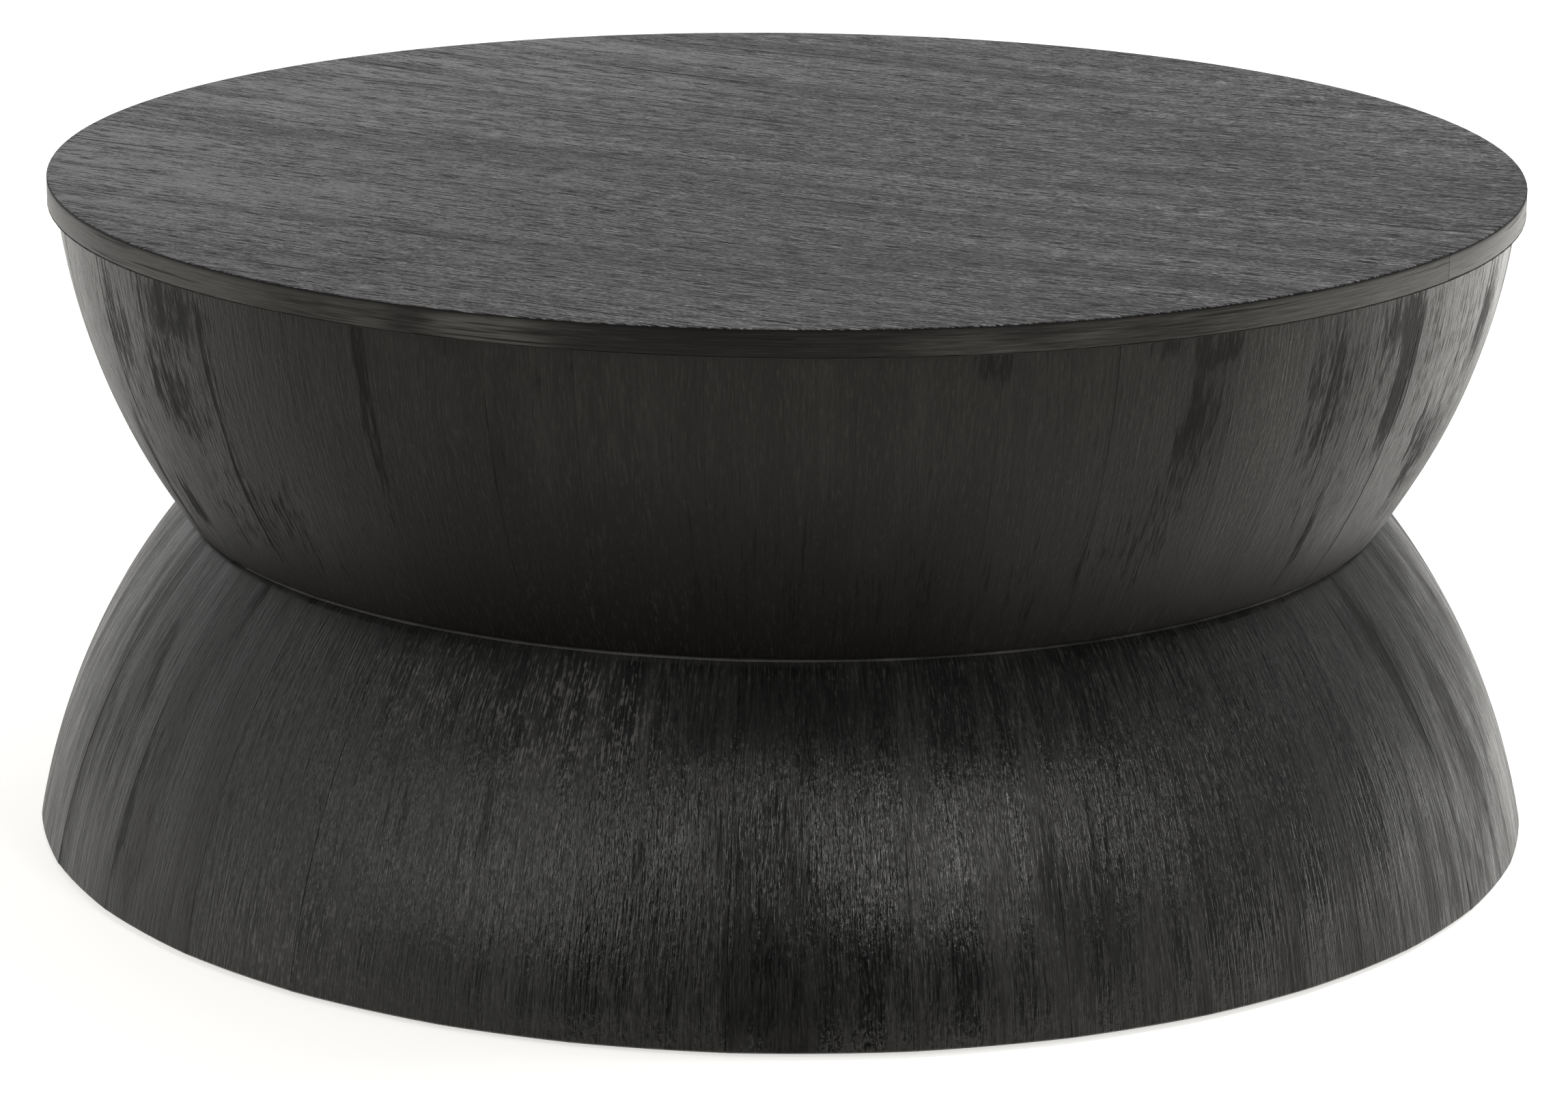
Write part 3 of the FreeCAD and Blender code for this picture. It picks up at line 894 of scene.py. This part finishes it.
def stave_colour(graph, noises, look, streak, pale, drop, inner):
    """Worn stain with pale fleck, darker downwards by painted shade, black in the streaks, a pale glint painted along
    the neck as a highlight, and bare wood inside.
    """
    # Painted shade: the tone darkens downwards by the look's amount, on the upper shell towards the waist
    painted_shade_fall = graph.remap(drop, *STAVE_STEPS["painted_shade_fall"])
    level = graph.total((painted_shade_fall, look["painted_shade_fall"]), (pale, PALE_LIFT), base=graph.mixed(noises, STAVE_LEVEL))
    colour = graph.blend(graph.remap(level, *STAVE_STEPS["worn"]), look["stain"], look["worn"])
    fleck = graph.remap(graph.mixed(noises, STAVE_SPECKS), *STAVE_STEPS["fleck"], 0.0, look["fleck_amount"])
    fleck = graph.math("MULTIPLY", fleck, graph.total((pale, look["pale_fleck"]), base=1.0))
    colour = graph.blend(fleck, colour, look["fleck"])
    colour = graph.blend(streak, colour, BLACK_STAIN)
    # Painted highlight: a pale glint along the shell's top edge, with a fainter band below it, broken up by patches
    edge = graph.remap(drop, *STAVE_STEPS["painted_highlight"], look["painted_highlight"], 0.0)
    faded = graph.remap(drop, *STAVE_STEPS["painted_highlight_fade"], PAINTED_HIGHLIGHT_FADE * look["painted_highlight"], 0.0)
    edge = graph.math("MAXIMUM", edge, faded)
    painted_highlight = graph.math("MULTIPLY", edge, graph.remap(noises["patches"], *STAVE_STEPS["painted_highlight_patches"]))
    colour = graph.blend(painted_highlight, colour, PAINTED_HIGHLIGHT_EDGE)
    bare = graph.blend(graph.remap(noises["medium"], *STAVE_STEPS["bare"]), INSIDE_DARK, INSIDE_BROWN)
    return graph.blend(graph.remap(inner, *STAVE_STEPS["inside"]), colour, bare)


def stave_roughness(graph, noises, look, streak, angle, drop):
    return graph.total(
        (graph.remap(noises["fine"], *STAVE_STEPS["rough_grain"]), FINE_ROUGHNESS),
        (graph.remap(noises["patches"], *STAVE_STEPS["rough_grain"]), PATCH_ROUGHNESS),
        (drop, look["rough_fall"]),
        (graph.remap(noises["bands"], *STAVE_STEPS["rough_bands"]), look["rough_bands"]),
        (graph.remap(graph.math("ABSOLUTE", angle), *STAVE_STEPS["rough_sides"]), look["rough_sides"]),
        (streak, look["streak_rough"]),
        base=look["rough"],
    )


def stave_tint(graph, look, streak, angle, drop):
    """The tint of the gloss, dulled in the streaks and darkened near the waist in front, a painted shade in the
    reflection.
    """
    # Painted shade: near the waist in front the gloss is darkened, standing in for the shaded floor it mirrors there;
    # dull mixes this with the streaks' own dullness
    off_centre = graph.math("ABSOLUTE", graph.math("SUBTRACT", angle, WAIST_ANGLE))
    waist = graph.remap(drop, *STAVE_STEPS["waist"])
    waist = graph.math("MULTIPLY", waist, graph.remap(off_centre, *STAVE_STEPS["waist_width"]))
    dull = graph.math("MULTIPLY", streak, look["streak_dull"])
    dull = graph.math("MAXIMUM", dull, graph.math("MULTIPLY", waist, look["waist_painted_shade"]))
    return graph.blend(dull, look["tint"], tuple(DULL_SHARE * part for part in look["tint"]))


def stave_relief(graph, noises, look, streak, drop):
    relief = graph.total(
        (graph.remap(noises["medium"], *STAVE_STEPS["relief"]), 1.0),
        (noises["fine"], FINE_RELIEF),
        (graph.remap(noises["peel"], *STAVE_STEPS["relief"]), look["peel"]),
        (streak, STREAK_RELIEF),
    )
    return graph.math("MULTIPLY", relief, graph.remap(drop, *STAVE_STEPS["neck"], look["neck_relief"], 1.0))


def stave_wood(name, look, marks):
    """Wire-brushed and black-stained, satin between matt streaks that run along the staves."""
    graph = material_graph(name)
    noises = stave_noises(graph, look)
    angle, drop, inner = graph.parts(graph.attribute("place"))
    dark, pale = stave_marks(graph, noises, marks, angle, drop)
    streak = stave_streak(graph, noises, look["cover"], dark, pale)
    graph.set("Base Color", stave_colour(graph, noises, look, streak, pale, drop, inner))
    graph.set("Roughness", stave_roughness(graph, noises, look, streak, angle, drop))
    graph.set("Specular IOR Level", look["gloss"])
    graph.set("Specular Tint", stave_tint(graph, look, streak, angle, drop))
    graph.set("Normal", graph.bump(stave_relief(graph, noises, look, streak, drop), look["relief"]))
    return graph.owner


def top_fibre(graph, place):
    """Places along and across the veneer's grain, which bends and wanders a little."""
    turn = math.radians(TOP_GRAIN_ANGLE)
    along = graph.vector("DOT_PRODUCT", place, (math.cos(turn), math.sin(turn), 0.0))
    side = graph.vector("DOT_PRODUCT", place, (-math.sin(turn), math.cos(turn), 0.0))
    side = graph.total((graph.math("MULTIPLY", along, along), TOP_BEND), base=side)
    wander = graph.noise(graph.joined(along, side, 0.0), TOP_WANDER_STRETCH)
    return graph.joined(along, graph.shifted(side, wander, TOP_WANDER), 0.0)


def top_wood():
    """Black-stained veneer with open pores, its grain running from the back left to the front right."""
    graph = material_graph("top_veneer_wood")
    place = graph.position()
    noises = graph.noises(top_fibre(graph, place), TOP_NOISES)
    level = graph.mixed(noises, TOP_LEVEL)
    colour = graph.blend(graph.remap(level, *TOP_STEPS["worn"]), TOP_STAIN, TOP_WORN)
    filament = graph.remap(graph.mixed(noises, TOP_STRAND), *TOP_STEPS["filament"])
    filament = graph.math("MULTIPLY", filament, graph.remap(noises["bands"], *TOP_STEPS["filament_bands"]))
    colour = graph.blend(filament, colour, TOP_FILAMENT)
    # Painted sheen: the veneer is painted paler towards the back left
    painted_sheen = graph.remap(graph.vector("DOT_PRODUCT", place, PAINTED_SHEEN_DIRECTION), *TOP_STEPS["painted_sheen"])
    painted_sheen = graph.math("MULTIPLY", painted_sheen, graph.remap(level, *TOP_STEPS["painted_sheen_level"]))
    colour = graph.blend(painted_sheen, colour, TOP_FILAMENT)
    pore = graph.remap(graph.mixed(noises, TOP_CUT), *TOP_STEPS["pore"])
    dark = graph.math("MAXIMUM", pore, graph.remap(noises["lines"], *TOP_STEPS["line"]))
    graph.set("Base Color", graph.blend(dark, colour, PORE_BLACK))
    rough = graph.total(
        (graph.remap(noises["fine"], *TOP_STEPS["rough"]), TOP_LOOK["rough_fine"]),
        (dark, TOP_LOOK["rough_dark"]),
        (graph.remap(noises["bands"], *TOP_STEPS["rough"]), TOP_LOOK["rough_bands"]),
        base=TOP_LOOK["rough"],
    )
    graph.set("Roughness", rough)
    graph.set("Specular IOR Level", TOP_LOOK["gloss"])
    relief = graph.total(
        (graph.remap(noises["coarse"], *TOP_STEPS["relief"]), 1.0),
        (graph.remap(noises["fine"], *TOP_STEPS["relief"]), 1.0),
        (noises["speck"], TOP_LOOK["relief_speck"]),
        (dark, TOP_LOOK["relief_dark"]),
    )
    graph.set("Normal", graph.bump(relief, TOP_LOOK["relief"]))
    return graph.owner


def lipping_wood():
    """The same stain over strips whose grain runs round the edge."""
    graph = material_graph("lipping_stained_wood")
    noises = graph.noises(graph.attribute("grain"), LIPPING_NOISES)
    fine = noises["fine"]
    bands = noises["bands"]
    angle, drop, _ = graph.parts(graph.attribute("place"))
    sway = graph.shifted(angle, bands, LIPPING_SWAY)
    # The pale marks paint highlights on the rim; the dark ones darken its front
    marked = graph.add_marks(graph.joined(sway, drop, 0.0), LIPPING_MARKS)
    level = graph.total((marked, LIPPING_MARK_PULL), base=graph.mixed(noises, LIPPING_LEVEL))
    colour = graph.blend(graph.remap(level, *LIPPING_STEPS["worn"]), LIPPING_STAIN, LIPPING_WORN)
    streak = graph.remap(graph.mixed(noises, LIPPING_STREAK), *LIPPING_STEPS["streak"])
    colour = graph.blend(streak, colour, BLACK_STAIN)
    rim = graph.remap(drop, *LIPPING_STEPS["rim"])
    graph.set("Base Color", graph.blend(rim, colour, BLACK_STAIN))
    rough = graph.total(
        (fine, LIPPING_LOOK["rough_fine"]),
        (streak, LIPPING_LOOK["rough_streak"]),
        (rim, LIPPING_LOOK["rough_rim"]),
        base=LIPPING_LOOK["rough"],
    )
    graph.set("Roughness", rough)
    graph.set("Specular IOR Level", LIPPING_LOOK["gloss"])
    graph.set("Specular Tint", UPPER_LOOK["tint"])
    graph.set("Normal", graph.bump(graph.math("ADD", fine, bands), LIPPING_LOOK["relief"]))
    return graph.owner


def plain_wood(name, pale, dark, stretch, rough):
    """Unfinished wood for the hidden parts, its grain along one axis."""
    graph = material_graph(name)
    place = graph.position()
    fine = graph.noise(place, tuple(PLAIN_FINENESS * number for number in stretch), detail=3.0)
    bands = graph.noise(place, stretch, detail=4.0, roughness=0.6, distortion=0.4)
    tone = graph.mixed({"fine": fine, "bands": bands}, PLAIN_TONE)
    graph.set("Base Color", graph.blend(graph.remap(tone, *PLAIN_STEP), dark, pale))
    graph.set("Roughness", graph.total((fine, 0.2), base=rough))
    graph.set("Specular IOR Level", PLAIN_GLOSS)
    graph.set("Normal", graph.bump(tone, PLAIN_RELIEF, 0.6))
    return graph.owner


def zinc():
    """Zinc plating, spangled and a little dull."""
    graph = material_graph("zinc_plating")
    noises = graph.noises(graph.position(), ZINC_NOISES)
    graph.set("Base Color", graph.blend(graph.remap(noises["stains"], *ZINC_STEP), ZINC_DARK, ZINC_PALE))
    graph.set("Metallic", 1.0)
    graph.set("Roughness", graph.total((noises["spots"], 0.25), base=ZINC_ROUGHNESS))
    graph.set("Normal", graph.bump(noises["spots"], ZINC_RELIEF, 0.4))
    return graph.owner


def felt():
    """Pressed felt."""
    graph = material_graph("pressed_felt")
    noises = graph.noises(graph.position(), FELT_NOISES)
    tone = graph.mixed(noises, FELT_TONE)
    graph.set("Base Color", graph.blend(graph.remap(tone, *FELT_STEP), FELT_DARK, FELT_PALE))
    graph.set("Roughness", graph.total((noises["fuzz"], 0.1), base=FELT_ROUGHNESS))
    graph.set("Sheen Weight", FELT_SHEEN)
    graph.set("Normal", graph.bump(tone, FELT_RELIEF, 0.8))
    return graph.owner


def dress_nodes(nodes, by_prefix):
    """Put the materials on the nodes that keep their own shapes."""
    for prefix, material in by_prefix.items():
        for name in nodes:
            if name.startswith(prefix):
                piece = nodes[name]
                piece.data.materials.clear()
                piece.data.materials.append(material)


def tinted(colour, share):
    """A colour darkened to a share of itself."""
    return tuple(share * part for part in colour)


def floor_white():
    """Lit by the lamps, and with a glow of its own where it is seen."""
    graph = material_graph("studio_floor_white")
    graph.tree.nodes.clear()
    lit = graph.node("ShaderNodeBsdfDiffuse", Color=tinted(FLOOR_TINT, FLOOR_TONE))
    seen = graph.node("ShaderNodeBsdfDiffuse", Color=tinted(FLOOR_TINT, FLOOR_SEEN_TONE))
    glow = graph.node("ShaderNodeEmission", Color=FLOOR_TINT, Strength=FLOOR_GLOW)
    together = graph.node("ShaderNodeAddShader", seen.outputs[0], glow.outputs[0])
    mixed = graph.node("ShaderNodeMixShader", graph.seen_by_eye(), lit.outputs[0], together.outputs[0])
    graph.node("ShaderNodeOutputMaterial", Surface=mixed.outputs[0])
    return graph.owner


def make_floor():
    """A pale floor that shows as white and keeps the table's shadow."""
    bm = bmesh.new()
    half = FLOOR_SIZE / 2
    corners = ((-half, -half), (half, -half), (half, half), (-half, half))
    bm.faces.new([bm.verts.new((x, y, FLOOR_LEVEL)) for x, y in corners])
    floor = finished_mesh("studio_floor", bm, SHARP_ANGLE)
    floor.data.materials.append(floor_white())


def make_dome():
    """Soft light from the sides and the back, low light from the front; the camera sees white."""
    world = bpy.data.worlds.new("studio_dome")
    bpy.context.scene.world = world
    graph = Graph(world)
    graph.tree.nodes.clear()
    x, y, z = graph.parts(graph.node("ShaderNodeTexCoord").outputs["Generated"])
    low = graph.remap(y, *DOME_CENTRE_EDGE, DOME_LOW_CENTRE, DOME_LOW_FRONT)
    front = graph.remap(z, *DOME_FRONT_RISE, low, DOME_HIGH_FRONT)
    side = graph.remap(y, *DOME_SIDE_TO_BACK, DOME_SIDE, DOME_BACK)
    back = graph.remap(z, *DOME_BACK_FALL, side, DOME_BACK * DOME_TOP)
    around = graph.remap(y, *DOME_FRONT_TO_AROUND, front, back)
    across = graph.remap(x, *DOME_LEFT_TO_RIGHT, DOME_LEFT_GAIN, DOME_RIGHT_GAIN)
    light = graph.node("ShaderNodeBackground", Color=WHITE, Strength=graph.math("MULTIPLY", around, across))
    white = graph.node("ShaderNodeBackground", Color=WHITE, Strength=1.0)
    by_camera = graph.node("ShaderNodeLightPath").outputs["Is Camera Ray"]
    mixed = graph.node("ShaderNodeMixShader", by_camera, light.outputs[0], white.outputs[0])
    graph.node("ShaderNodeOutputWorld", Surface=mixed.outputs[0])


def make_softbox(name, azimuth, elevation, distance, target, width, height, radiance, is_mirrored):
    """An area lamp that faces its target from a direction, as bright as a sheet of this radiance."""
    data = bpy.data.lights.new(name, "AREA")
    data.shape = "ELLIPSE"
    data.size = width
    data.size_y = height
    data.energy = radiance * math.pi * math.pi / 4 * width * height
    lamp = link(bpy.data.objects.new(name, data))
    tilt = math.radians(elevation)
    reach = polar(distance * math.cos(tilt), azimuth, distance * math.sin(tilt))
    lamp.location = Vector(target) + reach
    lamp.rotation_euler = (-reach).to_track_quat("-Z", "Y").to_euler()
    lamp.visible_camera = False
    lamp.visible_glossy = is_mirrored


def make_camera():
    """The camera where it stood for the photograph."""
    data = bpy.data.cameras.new("photo_camera")
    data.sensor_fit = "HORIZONTAL"
    data.sensor_width = SENSOR_WIDTH
    data.lens = LENS
    camera = link(bpy.data.objects.new("photo_camera", data))
    yaw = math.radians(CAMERA_YAW)
    pitch = math.radians(CAMERA_PITCH)
    roll = math.radians(CAMERA_ROLL)
    level_right = Vector((math.cos(yaw), -math.sin(yaw), 0.0))
    level_ahead = Vector((math.sin(yaw), math.cos(yaw), 0.0))
    above = Vector((0.0, 0.0, 1.0))
    ahead = level_ahead * math.cos(pitch) - above * math.sin(pitch)
    upward = level_ahead * math.sin(pitch) + above * math.cos(pitch)
    right = level_right * math.cos(roll) - upward * math.sin(roll)
    top = level_right * math.sin(roll) + upward * math.cos(roll)
    turn = Matrix((right, top, -ahead)).transposed()
    camera.matrix_world = Matrix.Translation(CAMERA_PLACE) @ turn.to_4x4()
    bpy.context.scene.camera = camera


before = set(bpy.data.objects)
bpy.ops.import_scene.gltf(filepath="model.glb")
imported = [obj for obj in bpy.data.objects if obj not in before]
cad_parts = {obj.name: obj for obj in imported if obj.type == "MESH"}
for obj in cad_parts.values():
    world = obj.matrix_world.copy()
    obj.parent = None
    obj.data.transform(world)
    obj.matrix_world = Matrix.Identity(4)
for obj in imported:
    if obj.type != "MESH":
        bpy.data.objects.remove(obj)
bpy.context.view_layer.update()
bpy.context.scene.view_settings.view_transform = "Standard"
make_camera()
make_floor()
make_dome()
for softbox in SOFTBOXES:
    make_softbox(*softbox)

lower_shell = Shell(LOWER_MOUTH, LOWER_NECK, LOWER_SIDE_RADIUS, LOWER_ROUNDING,
                    LOWER_FIRST_JOINT, LOWER_SHARES, LOWER_FLATNESS)
upper_shell = Shell(UPPER_MOUTH, UPPER_NECK, UPPER_SIDE_RADIUS, UPPER_ROUNDING,
                    UPPER_FIRST_JOINT, UPPER_SHARES, UPPER_FLATNESS)
lower_wood = stave_wood("lower_stave_stained", LOWER_LOOK, LOWER_MARKS)
upper_wood = stave_wood("upper_stave_stained", UPPER_LOOK, UPPER_MARKS)
make_staves("lower_staves", lower_shell, LOWER_OPEN_JOINTS, LOWER_OPEN_EASE, lower_wood)
make_staves("upper_staves", upper_shell, UPPER_OPEN_JOINTS, UPPER_OPEN_EASE, upper_wood)
make_veneer(top_wood())
make_lippings(lipping_wood())
dress_nodes(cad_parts, {
    "lower_waist_plate": plain_wood("birch_plywood_lower", PLY_PALE, PLY_DARK, LOWER_PLY_STRETCH, PLY_ROUGHNESS),
    "upper_waist_plate": plain_wood("birch_plywood_upper", PLY_PALE, PLY_DARK, UPPER_PLY_STRETCH, PLY_ROUGHNESS),
    "waist_bolts": zinc(),
    "waist_nuts": zinc(),
    "top_core": plain_wood("fibreboard", BOARD_PALE, BOARD_DARK, BOARD_STRETCH, BOARD_ROUGHNESS),
    "top_backing_veneer": plain_wood(
        "backing_veneer_stained", LIPPING_STAIN, BLACK_STAIN, BACKING_STRETCH, BOARD_ROUGHNESS),
    "glue_block": plain_wood("pine_block", BLOCK_PALE, BLOCK_DARK, BLOCK_STRETCH, BLOCK_ROUGHNESS),
    "floor_pads": felt(),
})
